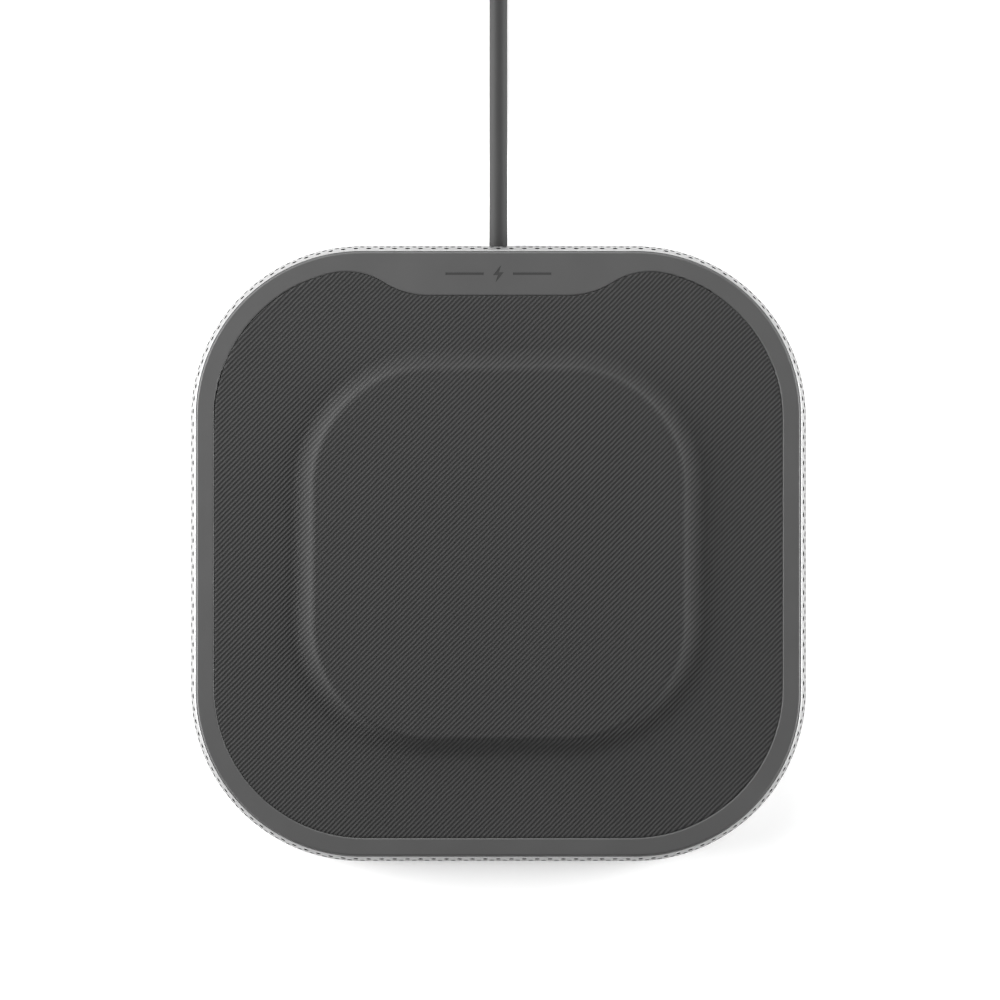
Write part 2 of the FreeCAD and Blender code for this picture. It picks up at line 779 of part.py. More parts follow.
def raised_sheet(label, low, high, draw_outline):
    """A sheet of even height that follows the plateau: a flat ring, the flank and the top."""
    body = new_body(label)
    around = flat_sketch(body, "around", low)
    draw_outline(around)
    rounded_square(around, d.rise_half, d.rise_half - d.rise_axis)
    pad(body, around, high - low)
    swept_ring(body, "flank", d.rise_axis, rise_profile(low, high))
    middle = flat_sketch(body, "middle", low + rise_height())
    rounded_square(middle, rise_top_half(), rise_top_half() - d.rise_axis)
    pad(body, middle, high - low)
    return body


def make_top_plate():
    """The plate under the cloth, with the plateau and four bosses that the base screws enter."""

    def edge(sketch):
        rounded_square(sketch, d.plate_half, d.plate_half - d.corner_axis)

    body = raised_sheet("top_plate", d.plate_low, d.plate_high, edge)
    bosses = flat_sketch(body, "bosses", d.boss_meet)
    for x, y in corners(d.screw_place):
        circle(bosses, x, y, d.boss_r)
    pad(body, bosses, d.plate_low - d.boss_meet)
    pilots = flat_sketch(body, "pilots", d.boss_meet)
    for x, y in corners(d.screw_place):
        circle(pilots, x, y, d.screw_r)
    pocket(body, pilots, 4, upwards=True)


def make_cloth():
    """The stiff backing sheet and the cloth on it, both cut to the window."""
    raised_sheet("fabric_backing", d.plate_high, d.backing_high, lambda s: window(s, d.cloth_gap))
    raised_sheet("fabric_cover", d.backing_high, d.cloth_high, lambda s: window(s, d.cloth_gap))


def make_bezel():
    """The frame round the cloth: its lip covers the band's upper edge, and its tab carries a mark."""
    body = new_body("top_bezel")
    foot = flat_sketch(body, "foot", d.tape_high)
    rounded_square(foot, d.bezel_foot, d.bezel_foot - d.corner_axis)
    window(foot, Size(0))
    pad(body, foot, d.lip_low - d.tape_high)
    lip = flat_sketch(body, "lip", d.lip_low)
    rounded_square(lip, d.bezel_half, d.bezel_half - d.corner_axis)
    window(lip, Size(0))
    pad(body, lip, d.bezel_high - d.lip_low)
    outside_window = d.corner_axis.value + (d.bezel_half - d.corner_axis).value * math.sqrt(0.5) - 1
    dress(body, "Fillet", d.bezel_round, at_height(d.bezel_high.value, least=outside_window))
    mark = flat_sketch(body, "mark", d.bezel_high)
    draw_mark(mark)
    pocket(body, mark, d.mark_deep, upwards=False)


def draw_mark(sketch):
    """A generic charging mark: a lightning bolt between two short bars."""
    bolt = [(0.5, 1.55), (-0.95, -0.25), (-0.1, -0.25), (-0.5, -1.55), (0.95, 0.25), (0.1, 0.25)]
    outline(sketch, [(x, d.mark_y + y) for x, y in bolt])
    low, high = d.mark_y - d.bar_half, d.mark_y + d.bar_half
    rectangle(sketch, (d.bar_near, low), (d.bar_far, high))
    rectangle(sketch, (-d.bar_near, low), (-d.bar_far, high))


def make_mark_inlay():
    """The dark inlay that fills most of the mark."""
    body = new_body("mark_inlay")
    mark = flat_sketch(body, "mark", d.bezel_high - d.mark_deep)
    draw_mark(mark)
    pad(body, mark, d.mark_inlay)


def make_bezel_tape():
    """The thin double-sided tape between the bezel and the top plate."""
    body = new_body("bezel_tape")
    tape = flat_sketch(body, "tape", d.plate_high)
    rounded_square(tape, d.plate_half, d.plate_half - d.corner_axis)
    window(tape, Size(0))
    pad(body, tape, d.tape_high - d.plate_high)


def make_screws(label, places, head_low, head, tip, shank_r):
    """Flat-headed screws with a hexagonal drive, as one group: head is (height, radius), and the tip is above
    the head on a screw that goes in from below, and below it on the others."""
    tall, wide = head
    head_high = head_low + tall
    upwards = tip.value > head_high.value
    drive_deep = tall * 0.6
    drive_low = head_low if upwards else head_high - drive_deep
    shank_low, shank_high = (head_high, tip) if upwards else (tip, head_low)
    made = []
    for i, (x, y) in enumerate(places):
        name = f"{label}_{i}"
        body = rod(name + "_head", x, y, head_low, head_high, wide)
        shank = rod(name + "_shank", x, y, shank_low, shank_high, shank_r)
        drive = doc.addObject("Part::Prism", name + "_drive")
        drive.Polygon = 6
        bind(drive, Circumradius=wide * 0.5, Height=drive_deep)
        placed(drive, x, y, drive_low)
        made.append(minus(name, union(name + "_blank", body, shank), drive))
    group(label, made)


def make_fasteners():
    head_low = d.sink_top - d.screw_head
    base, post = (d.screw_head, d.screw_head_r), (d.post_head, d.post_head_r)
    small = (d.small_head, d.small_head_r)
    make_screws("base_screws", corners(d.screw_place), head_low, base, d.base_screw_tip, d.screw_r)
    make_screws("carrier_screws", corners(d.post_place), d.carrier_high, post, d.post_screw_tip, d.screw_r)
    make_screws("board_screws", board_holes(), d.board_high, small, d.small_tip, d.small_screw_r)
    make_screws("clamp_screws", clamp_holes(), clamp_high(), small, d.small_tip, d.small_screw_r)


# ---------------------------------------------------------------- charging stack


def make_carrier():
    """The plate that holds ferrite and coil, screwed to the base's posts, with a slot for the leads."""
    body = new_body("coil_carrier")
    plate = flat_sketch(body, "plate", d.carrier_low)
    rounded_square(plate, d.carrier_half, d.carrier_round)
    pad(body, plate, d.carrier_high - d.carrier_low)
    rim = flat_sketch(body, "rim", d.carrier_high)
    circle(rim, 0, 0, d.ferrite_r + 0.1)
    circle(rim, 0, 0, d.ferrite_r + 1.1)
    pad(body, rim, d.carrier_rim)
    holes = flat_sketch(body, "screw_holes", d.carrier_low)
    for x, y in corners(d.post_place):
        circle(holes, x, y, d.screw_r)
    through = d.carrier_high - d.carrier_low + d.carrier_rim + 1
    pocket(body, holes, through, upwards=True)
    slot = flat_sketch(body, "lead_slot", d.carrier_low)
    rectangle(slot, (-d.lead_slot_half, d.ferrite_r - 1), (d.lead_slot_half, d.carrier_half + 1))
    pocket(body, slot, through, upwards=True)
    bore = flat_sketch(body, "sensor_hole", d.carrier_low)
    circle(bore, 0, 0, d.sensor_hole_r)
    pocket(body, bore, through, upwards=True)


def make_ferrite():
    body = new_body("ferrite_plate")
    disc = flat_sketch(body, "disc", d.carrier_high)
    circle(disc, 0, 0, d.ferrite_r)
    circle(disc, 0, 0, d.sensor_hole_r)
    thick = d.ferrite_high - d.carrier_high
    pad(body, disc, thick)
    notch = flat_sketch(body, "lead_notch", d.carrier_high)
    rectangle(notch, (-d.lead_slot_half, d.ferrite_r - 1.2), (d.lead_slot_half, d.ferrite_r + 1))
    pocket(body, notch, thick + 1, upwards=True)


def coil_height():
    return d.ferrite_high.value + d.coil_wire.value / 2


def make_coil():
    """A flat spiral of litz wire made of half turns, each with its centre moved by half the pitch."""
    pitch, z = d.coil_pitch.value, coil_height()
    edges, near, side = [], d.coil_in.value, 1
    for _ in range(2 * COIL_TURNS):
        far = near + pitch / 2
        start, end = V(0, side * near, z), V(0, -side * far, z)
        middle = V(side * (near + far) / 2, side * (near - far) / 2, z)
        edges.append(Part.Arc(start, middle, end).toShape())
        near, side = far, -side
    feature("charging_coil", tube("charging_coil", Part.Wire(edges), d.coil_wire.value / 2))
    return near


def make_coil_leads(outer):
    """Two insulated leads: from the coil's outer end and its inner end, down to the board."""
    radius = 0.5
    edge, drop, land = d.ferrite_r.value + 1.0, d.board_high.value, 28.5
    z = coil_height()
    outside = [(1.6, outer + 0.1, z), (1.6, edge + 1.5, z), (1.6, land, z - 2.5), (1.6, land, drop)]
    under = d.carrier_low.value - 1.0
    inside = [
        (-1.6, 1.0, under),
        (-1.6, 12, under - 0.2),
        (-1.6, land - 1.2, under - 0.3),
        (-1.6, land, under - 1.0),
        (-1.6, land, drop),
    ]
    shapes = [tube("coil_leads", bent_wire("coil_leads", p), radius) for p in (outside, inside)]
    feature("coil_leads", Part.Compound(shapes))


def make_sensor():
    """The thermistor in the middle of the coil, and its two thin leads to the board."""
    low, top = d.carrier_high, d.ferrite_high + 0.9
    bead = soften("sensor_bead", rod("sensor_blank", 0, 0, low, top, 1.2), 0.35)
    named(bead, "thermistor")
    base, drop = d.carrier_low.value, d.board_high.value
    shapes = []
    for x in (-0.5, 0.5):
        points = [(x, 0, low.value), (x, 0, base - 0.6), (x + 2, 3.2, base - 1.8)]
        points += [(x + 5, 23.5, base - 1.6), (x + 5, 25.5, base - 2.2), (x + 5, 25.5, drop)]
        shapes.append(tube("thermistor_leads", bent_wire("thermistor_leads", points), 0.2))
    feature("thermistor_leads", Part.Compound(shapes))


# ---------------------------------------------------------------- board


def make_board():
    body = new_body("main_board")
    plate = flat_sketch(body, "plate", d.board_low)
    rectangle(plate, (-d.board_half, d.board_front), (d.board_half, d.board_back))
    pad(body, plate, d.board_high - d.board_low)
    holes = flat_sketch(body, "holes", d.board_low)
    for x, y in board_holes():
        circle(holes, x, y, d.small_screw_r)
    pocket(body, holes, d.board_high - d.board_low + 1, upwards=True)


def on_board(name, x, y, width, length, height):
    """A component that stands on the board, centred at (x, y)."""
    low = (x - width / 2, y - length / 2, d.board_high)
    return block(name, low, (x + width / 2, y + length / 2, d.board_high + height))


def component_row(label, places, width, length, height):
    """Several of one component. Each has its edges eased a little."""
    eased = 0.12
    made = []
    for i, (x, y) in enumerate(places):
        blank = on_board(f"{label}_blank_{i}", x, y, width, length, height)
        made.append(soften(f"{label}_{i}", blank, eased))
    return named(made[0], label) if len(made) == 1 else group(label, made)


def make_components():
    component_row("controller_chip", [(0, 32.6)], 6, 6, 0.9)
    component_row("bridge_transistors", [(x, 25) for x in (-11, -7, 9, 13)], 3.2, 3.2, 0.9)
    component_row("resonant_capacitors", [(x, 38.2) for x in (-17.2, -11.2)], 5.0, 5.6, 2.6)
    component_row("input_capacitors", [(x, 38.8) for x in (8.2, 11.4, 14.6)], 2.5, 3.2, 2.0)
    component_row("power_inductor", [(11.6, 32)], 6, 6, 3.0)
    component_row("gate_resistors", [(x, 28.6) for x in (-9, -6, 6, 16)], 1.6, 0.8, 0.5)


def make_connector():
    """The two-way socket on the board's back edge, where the cord's wires arrive."""
    shell = on_board("connector_shell", 0, 39.8, 6.6, 4.2, 3.2)
    ways = []
    for side, x in (("left", -1.5), ("right", 1.5)):
        low, high = (x - 0.75, 40.6, d.board_high + 0.9), (x + 0.75, 43, d.board_high + 2.4)
        ways.append(block(f"connector_way_{side}", low, high))
    named(minus("wire_connector", shell, *ways), "wire_connector")


def make_power_wires():
    """The cord's two wires, from its jacket to the connector."""
    shapes = []
    z = d.board_high.value + 1.65
    for side in (-1, 1):
        start = d.inner_end.value
        points = [(side * 0.62, start, d.cord_z.value), (side * 0.62, start - 0.8, d.cord_z.value)]
        points += [(side * 1.5, 42.2, z), (side * 1.5, 40.6, z)]
        shapes.append(tube("power_wires", bent_wire("power_wires", points), 0.5))
    feature("power_wires", Part.Compound(shapes))


def make_thermal_pad():
    named(block("thermal_pad", (-6, 26.5, d.floor_high), (6, 37.5, d.board_low)), "thermal_pad")


# ---------------------------------------------------------------- cord entry


def make_cord_entry():
    """The grommet in the band's opening, the jacket's inner end, and the bar that clamps it down."""
    wall = d.frame_in
    barrel = cord_rod("grommet_barrel", wall - 1.3, d.cord_out, d.cord_z, d.grommet_r)
    collar = block("grommet_collar", (-3.8, wall - 1.3, d.floor_high + 0.05), (3.8, wall - 0.05, 7.6))
    bore = cord_rod("grommet_bore", wall - 3, d.cord_out + 1, d.cord_z, d.cord_r)
    named(minus("cord_grommet", union("grommet_blank", barrel, collar), bore), "cord_grommet")
    named(cord_rod("cord_inner_end", d.inner_end, d.cord_out, d.cord_z, d.cord_r), "cord_inner_end")
    front, back = d.clamp_y - d.clamp_half, d.clamp_y + d.clamp_half
    bar = block("clamp_bar", (-d.clamp_reach, front, clamp_low()), (d.clamp_reach, back, clamp_high()))
    saddle = cord_rod("clamp_saddle", front - 1, back + 1, d.cord_z, d.cord_r)
    relief = block("clamp_relief", (-d.cord_r, front - 1, 0), (d.cord_r, back + 1, d.cord_z))
    spots = enumerate(clamp_holes())
    holes = [rod(f"clamp_hole_{i}", x, y, 0, clamp_high() + 1, d.small_screw_r) for i, (x, y) in spots]
    named(minus("cord_clamp", bar, saddle, relief, *holes), "cord_clamp")


# ---------------------------------------------------------------- cord and plug


def edges_along(shape, axis, least):
    """The edges of a solid that run at least so far along an axis."""
    return [e for e in shape.Edges if getattr(e.BoundBox, axis + "Length") > least]


def make_cord():
    """The free cord: its tube, the coil that the rest is wound into, and the tail to the plug."""
    radius = d.cord_r.value
    feature("cord_tube", tube("cord_tube", bent_wire("cord_tube", ROUTE), radius))
    feature("cord_tail", tube("cord_tail", bent_wire("cord_tail", TAIL), radius))
    spare = radius + WOUND_SPARE
    low, high = wound_heights()
    outer = Part.makeCylinder(WOUND_OUT + spare, high - low, WOUND_AT + UP * low)
    inner = Part.makeCylinder(WOUND_IN - spare, high - low, WOUND_AT + UP * low)
    ring = outer.cut(inner)
    rims = [e for e in ring.Edges if abs(e.BoundBox.ZLength) < 1e-6]
    ring = ring.makeFillet(WOUND_ROUND, rims)
    lead_in, lead_out = V(*ROUTE[-1]), V(*TAIL[0])
    stubs = [
        Part.makeCylinder(radius, WOUND_AT.y - lead_in.y, lead_in, V(0, 1, 0)),
        Part.makeCylinder(radius, WOUND_AT.x - lead_out.x, lead_out, V(1, 0, 0)),
    ]
    feature("cord_coil", ring.fuse(stubs))


def wound_heights():
    """The lowest and highest level of the put-away coil."""
    radius = d.cord_r.value
    return WOUND_LOW - radius - 0.1, WOUND_HIGH + radius + WOUND_SPARE


def make_tie():
    """The strap that holds the put-away coil, closed round one side of it."""
    width, thick = d.tie_wide.value, d.tie_thick.value
    spare = d.cord_r.value + WOUND_SPARE
    low, high = wound_heights()
    near, far = WOUND_IN - spare - 1.0, WOUND_OUT + spare + 0.1
    corner = V(near - thick, -width / 2, 0)
    strap = Part.makeBox(far - near + 2 * thick, width, high + thick + 0.05, corner)
    strap = strap.makeFillet(d.tie_round.value, edges_along(strap, "Y", width - 1e-6))
    space = Part.makeBox(far - near, width + 2, high - low, V(near, -width / 2 - 1, low))
    tie = feature("cord_tie", strap.cut(space))
    tie.Placement = FreeCAD.Placement(WOUND_AT, FreeCAD.Rotation(UP, TIE_TURN))


def plug_box(back, front, half_wide, low, high, aside=0):
    """A box in the plug, between two distances from its back, and heights from its middle line."""
    start = PLUG_BACK + V(-front, aside - half_wide, low)
    return Part.makeBox(front - back, 2 * half_wide, high - low, start)


def make_plug():
    """A USB-A plug that lies flat beside the coil, pointing along -X: grip, shell, tongue and contacts."""
    grip_back = d.boot_long.value
    grip_front = grip_back + d.grip_long.value
    mouth = grip_front + d.shell_long.value
    seat = grip_front - d.shell_seat.value
    wide, tall, wall = d.shell_wide.value / 2, d.shell_tall.value / 2, d.shell_wall.value

    boot = Part.makeCone(d.boot_thin_r.value, d.boot_thick_r.value, grip_back, PLUG_BACK, V(-1, 0, 0))
    thick = d.grip_tall.value / 2
    grip = plug_box(grip_back, grip_front, d.grip_wide.value / 2, -thick, thick)
    grip = grip.makeFillet(d.grip_round.value, edges_along(grip, "X", d.grip_long.value - 1e-4))
    nose = [e for e in grip.Edges if e.BoundBox.XMax < PLUG_BACK.x - grip_front + 1e-4]
    grip = grip.makeFillet(d.grip_nose.value, nose)
    recess = plug_box(seat, grip_front, wide, -tall, tall)
    feature("plug_overmould", grip.fuse(boot).cut(recess).removeSplitter())

    shell = plug_box(seat, mouth, wide, -tall, tall)
    shell = shell.makeFillet(d.shell_round.value, edges_along(shell, "X", mouth - seat - 1e-4))
    shell = shell.cut(plug_box(seat - 1, mouth + 1, wide - wall, wall - tall, tall - wall))
    latch_front = mouth - d.latch_place.value
    latch_back = latch_front - d.latch_long.value
    latch = d.latch_wide.value / 2
    for aside in (-d.latch_aside.value, d.latch_aside.value):
        shell = shell.cut(plug_box(latch_back, latch_front, latch, -2 * tall, 2 * tall, aside))
    feature("plug_shell", shell)

    low = d.tongue_low.value
    front = mouth - d.tongue_back.value
    tongue = plug_box(seat + 1, front, wide - wall - d.tongue_gap.value, low, tall - wall)
    contact_front = mouth - d.contact_back.value
    contact_back = contact_front - d.contact_long.value
    contacts = []
    for place in (-1.5, -0.5, 0.5, 1.5):
        aside = place * d.contact_pitch.value
        half = d.contact_wide.value / 2
        contacts.append(plug_box(contact_back, contact_front, half, low, low + d.contact_thick.value, aside))
        tongue = tongue.cut(contacts[-1])
    feature("plug_tongue", tongue)
    feature("plug_contacts", Part.Compound(contacts))


# ---------------------------------------------------------------- write


NODES = """
base_cover foot_ring mid_frame perforated_band top_plate fabric_backing fabric_cover bezel_tape top_bezel
mark_inlay base_screws coil_carrier ferrite_plate charging_coil coil_leads carrier_screws thermistor
thermistor_leads main_board board_screws controller_chip bridge_transistors resonant_capacitors
input_capacitors gate_resistors power_inductor wire_connector power_wires thermal_pad cord_clamp
clamp_screws cord_grommet cord_inner_end cord_tube cord_coil cord_tail cord_tie plug_overmould plug_shell
plug_tongue plug_contacts
""".split()


def check_and_write():
    """Stops on anything that failed or is not a valid shape, then writes one STEP file for each node."""
    doc.recompute()
    for obj in doc.Objects:
        if {"Invalid", "Error"} & set(obj.State):
            raise RuntimeError(f"{obj.Label} failed: {obj.State}")
    parts = {obj.Label: obj for obj in doc.Objects if obj.Label in NODES}
    missing = set(NODES) - set(parts)
    if missing:
        raise RuntimeError(f"missing: {sorted(missing)}")
    os.makedirs("parts", exist_ok=True)
    for label in NODES:
        shape = parts[label].Shape
        if shape.isNull() or not shape.isValid() or not shape.Solids:
            raise RuntimeError(f"{label} is not a valid solid")
        shape.exportStep(f"parts/{label}.step")
        print(f"{label}: {len(shape.Solids)} solids, {shape.Volume:.1f} mm3")


make_base()
make_foot_ring()
make_mid_frame()
make_band()
make_top_plate()
make_cloth()
make_bezel()
make_mark_inlay()
make_bezel_tape()
make_fasteners()
make_carrier()
make_ferrite()
make_coil_leads(make_coil())
make_sensor()
make_board()
make_components()
make_connector()
make_power_wires()
make_thermal_pad()
make_cord_entry()
make_cord()
make_tie()
make_plug()
check_and_write()
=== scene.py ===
import json
import math

import bmesh
import bpy
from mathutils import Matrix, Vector


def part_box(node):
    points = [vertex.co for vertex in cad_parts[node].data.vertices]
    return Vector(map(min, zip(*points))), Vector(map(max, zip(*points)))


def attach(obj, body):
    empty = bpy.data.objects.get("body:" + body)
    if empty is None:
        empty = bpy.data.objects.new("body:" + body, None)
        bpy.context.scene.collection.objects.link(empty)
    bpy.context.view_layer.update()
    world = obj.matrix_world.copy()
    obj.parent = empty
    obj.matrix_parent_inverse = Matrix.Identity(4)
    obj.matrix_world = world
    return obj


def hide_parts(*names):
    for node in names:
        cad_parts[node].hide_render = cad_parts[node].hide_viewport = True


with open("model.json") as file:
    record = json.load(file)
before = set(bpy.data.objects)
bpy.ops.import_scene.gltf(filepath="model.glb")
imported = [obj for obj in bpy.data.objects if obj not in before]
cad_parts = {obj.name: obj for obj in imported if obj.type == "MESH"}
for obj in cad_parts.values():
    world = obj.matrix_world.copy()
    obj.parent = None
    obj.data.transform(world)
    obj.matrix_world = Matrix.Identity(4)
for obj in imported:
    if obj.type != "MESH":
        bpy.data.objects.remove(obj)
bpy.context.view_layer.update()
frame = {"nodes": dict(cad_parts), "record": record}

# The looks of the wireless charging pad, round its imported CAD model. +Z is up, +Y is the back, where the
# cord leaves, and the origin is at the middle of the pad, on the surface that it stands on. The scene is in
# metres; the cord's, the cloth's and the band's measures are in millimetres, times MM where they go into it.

MM = 0.001
SCENE = bpy.context.scene
NODES = frame["nodes"]

# ---------------------------------------------------------------- camera, light and floor

CAMERA_LENS = 150
CAMERA_PLACE = Vector((0.29, 9.55, 749.7)) * MM
CAMERA_NEAR = 0.01

# The floor gives off its own light, as a light table would: painted light that lightens the pad's shadows on
# it, dim near the pad and growing to white away from it.
FLOOR_HALF = 6.0
FLOOR_NEAR, FLOOR_NEAR_GLOW = 0.2, 0.2
FLOOR_FAR, FLOOR_FAR_GLOW = 0.9, 1.0
FLOOR_TONES = (0.91, 0.93)
FLOOR_CLOUD = 0.3

# Softboxes: name, azimuth (0 is +X, 90 is +Y), elevation, distance and width in metres, and how much light
# each gives the pad; 1 makes a white sheet that faces it white.
SOFTBOXES = [
    ("left_low", 180, 12, 0.35, 0.25, 1.5),
    ("left", 180, 20, 0.40, 0.25, 1.05),
    ("right_low", 0, 12, 0.40, 0.25, 1.45),
    ("right", 0, 22, 0.40, 0.25, 0.65),
    ("back", 90, 22, 0.40, 0.25, 0.80),
    ("back_left", 135, 25, 0.45, 0.30, 0.75),
]
WORLD_TONE = (0.9, 0.9, 0.9, 1)
WORLD_STRENGTH = 0.08


def make_camera():
    data = bpy.data.cameras.new("camera")
    data.lens = CAMERA_LENS
    data.clip_start = CAMERA_NEAR
    camera = bpy.data.objects.new("camera", data)
    camera.location = CAMERA_PLACE
    SCENE.collection.objects.link(camera)
    SCENE.camera = camera


def make_lights():
    for name, azimuth, elevation, distance, width, light in SOFTBOXES:
        data = bpy.data.lights.new(name, "AREA")
        data.size = width
        data.energy = light * (math.pi * distance) ** 2
        lamp = bpy.data.objects.new(name, data)
        a, e = math.radians(azimuth), math.radians(elevation)
        towards = Vector((math.cos(a) * math.cos(e), math.sin(a) * math.cos(e), math.sin(e)))
        lamp.location = towards * distance
        lamp.rotation_euler = towards.to_track_quat("Z", "Y").to_euler()
        lamp.visible_camera = False
        SCENE.collection.objects.link(lamp)
    world = bpy.data.worlds.new("studio")
    world.use_nodes = True
    background = world.node_tree.nodes["Background"]
    background.inputs["Color"].default_value = WORLD_TONE
    background.inputs["Strength"].default_value = WORLD_STRENGTH
    SCENE.world = world
    SCENE.view_settings.view_transform = "Standard"


# ---------------------------------------------------------------- materials


class Shader:
    """A material's node tree round one Principled shader, with helpers for what repeats."""

    def __init__(self, name, **sockets):
        self.material = bpy.data.materials.new(name)
        self.material.use_nodes = True
        self.tree = self.material.node_tree
        self.principled = self.tree.nodes["Principled BSDF"]
        self.place = self.tree.nodes.new("ShaderNodeTexCoord").outputs["Object"]
        for socket, value in sockets.items():
            self.principled.inputs[socket.replace("_", " ")].default_value = value

    def link(self, value, socket):
        if isinstance(value, bpy.types.NodeSocket):
            self.tree.links.new(value, socket)
        else:
            socket.default_value = value

    def maths(self, operation, *values):
        node = self.tree.nodes.new("ShaderNodeMath")
        node.operation = operation
        for value, socket in zip(values, node.inputs):
            self.link(value, socket)
        return node.outputs[0]

    def coordinates(self):
        split = self.tree.nodes.new("ShaderNodeSeparateXYZ")
        self.link(self.place, split.inputs[0])
        return split.outputs

    def noise(self, size, detail=3.0, stretch=(1, 1, 1)):
        """Smooth noise whose lumps are about size metres across."""
        mapping = self.tree.nodes.new("ShaderNodeMapping")
        mapping.inputs["Scale"].default_value = [s / size for s in stretch]
        self.link(self.place, mapping.inputs["Vector"])
        node = self.tree.nodes.new("ShaderNodeTexNoise")
        node.inputs["Scale"].default_value = 1
        node.inputs["Detail"].default_value = detail
        self.link(mapping.outputs[0], node.inputs["Vector"])
        return node.outputs["Fac"]

    def ramp(self, factor, *stops):
        """Colours or greys blended along a factor; each stop is (place, grey or (r, g, b))."""
        node = self.tree.nodes.new("ShaderNodeValToRGB")
        self.link(factor, node.inputs[0])
        elements = node.color_ramp.elements
        for i, (at, tone) in enumerate(stops):
            element = elements[i] if i < 2 else elements.new(at)
            element.position = at
            element.color = (*tone, 1) if isinstance(tone, tuple) else (tone, tone, tone, 1)
        return node.outputs[0]

    def colour(self, factor, *stops):
        self.link(self.ramp(factor, *stops), self.principled.inputs["Base Color"])

    def roughness(self, factor, low, high):
        self.link(self.ramp(factor, (0, low), (1, high)), self.principled.inputs["Roughness"])

    def bump(self, *layers):
        """Bumps on top of each other; each layer is (height, depth in metres)."""
        normal = None
        for height, depth in layers:
            node = self.tree.nodes.new("ShaderNodeBump")
            node.inputs["Strength"].default_value = 1
            node.inputs["Distance"].default_value = depth
            self.link(height, node.inputs["Height"])
            if normal:
                self.link(normal, node.inputs["Normal"])
            normal = node.outputs[0]
        self.link(normal, self.principled.inputs["Normal"])


def tint(grey, warm=0.0):
    """A grey a little to the warm or the cool side."""
    return (grey * (1 + warm), grey, grey * (1 - warm))


CLOUD_SIZE, CLOUD_SHARE = 9 * MM, 0.04  # faint cloudiness of moulded plastic, and how far it moves the grey


def moulded(name, grey, rough=0.5, grain=0.09 * MM, depth=0.004 * MM, warm=0.0, specular=0.5):
    """Moulded plastic or rubber: fine spark-eroded grain and faint cloudiness."""
    shader = Shader(name, Specular_IOR_Level=specular)
    fine = shader.noise(grain, 4)
    cloud = shader.noise(CLOUD_SIZE, 2)
    dark, light = tint(grey * (1 - CLOUD_SHARE), warm), tint(grey * (1 + CLOUD_SHARE), warm)
    shader.colour(cloud, (0.3, dark), (0.7, light))
    shader.roughness(fine, rough - 0.06, rough + 0.06)
    shader.bump((fine, depth))
    return shader.material


def metal(name, colour, rough=0.3, stretch=(1, 1, 1), grain=0.05 * MM, depth=0.001 * MM):
    """Bare metal, with fine scratches along the direction that stretch leaves long."""
    shader = Shader(name, Metallic=1)
    scratches = shader.noise(grain, 3, stretch)
    shader.colour(scratches, (0.3, tuple(c * 0.93 for c in colour)), (0.7, colour))
    shader.roughness(scratches, rough - 0.05, rough + 0.07)
    shader.bump((scratches, depth))
    return shader.material


TWILL_RIB = 0.625 * MM  # distance between ribs, across them
TWILL_REPEAT = 3  # yarns in the weave's repeat: over two, under one
TWILL_DEPTH = 0.09 * MM
# The cloth's greys follow the ribs' height: painted shade, darker between the ribs and lighter on top.
RIB_SHADE_TONES = (0.0135, 0.029, 0.047)  # between ribs, half way up, on top
YARN_SHARE = 0.16  # of the ribs' height
FUZZ_SIZE, FUZZ_DEPTH, FUZZ_SHARE = 0.12 * MM, 0.012 * MM, 0.2
WANDER_SIZE, WANDER = 1.6 * MM, 0.9  # how the ribs stray, in yarns
TWILL_CLOUD, TWILL_CLOUD_SHARE = 14 * MM, 0.08


def twill(name):
    """Charcoal twill: ribs that run up to the right, each of short floats, one yarn up in each column."""
    shader = Shader(name, Roughness=0.8, Specular_IOR_Level=0.12, Sheen_Weight=0.15, Sheen_Roughness=0.4)
    pitch = TWILL_RIB * math.sqrt(2) / TWILL_REPEAT
    x, y, _ = shader.coordinates()
    wander = shader.maths("MULTIPLY", shader.noise(WANDER_SIZE, 2), WANDER)
    column = shader.maths("DIVIDE", x, pitch)
    row = shader.maths("ADD", shader.maths("DIVIDE", y, pitch), wander)

    def wave(turns):
        """From 0 at whole turns to 1 half way between them."""
        round_ = shader.maths("COSINE", shader.maths("MULTIPLY", turns, 2 * math.pi))
        return shader.maths("MULTIPLY_ADD", round_, -0.5, 0.5)

    rib = wave(shader.maths("DIVIDE", shader.maths("SUBTRACT", column, row), TWILL_REPEAT))
    yarn = shader.maths("MULTIPLY", wave(column), shader.maths("MULTIPLY_ADD", rib, 0.7, 0.3))
    ribs = shader.maths("MULTIPLY", rib, 1 - YARN_SHARE)
    height = shader.maths("MULTIPLY_ADD", yarn, YARN_SHARE, ribs)
    cloud = shader.maths("SUBTRACT", shader.noise(TWILL_CLOUD, 2), 0.5)
    fuzz = shader.noise(FUZZ_SIZE, 4)
    # Painted shade: this part of the grey follows the ribs' height and is darkest between the ribs.
    lit = shader.maths("MULTIPLY", height, 1 - FUZZ_SHARE)
    tone = shader.maths("ADD", lit, shader.maths("MULTIPLY", fuzz, FUZZ_SHARE))
    tone = shader.maths("ADD", tone, shader.maths("MULTIPLY", cloud, TWILL_CLOUD_SHARE))
    shader.colour(tone, *((at, tint(grey)) for at, grey in zip((0.1, 0.5, 0.9), RIB_SHADE_TONES)))
    shader.bump((height, TWILL_DEPTH), (fuzz, FUZZ_DEPTH))
    return shader.material


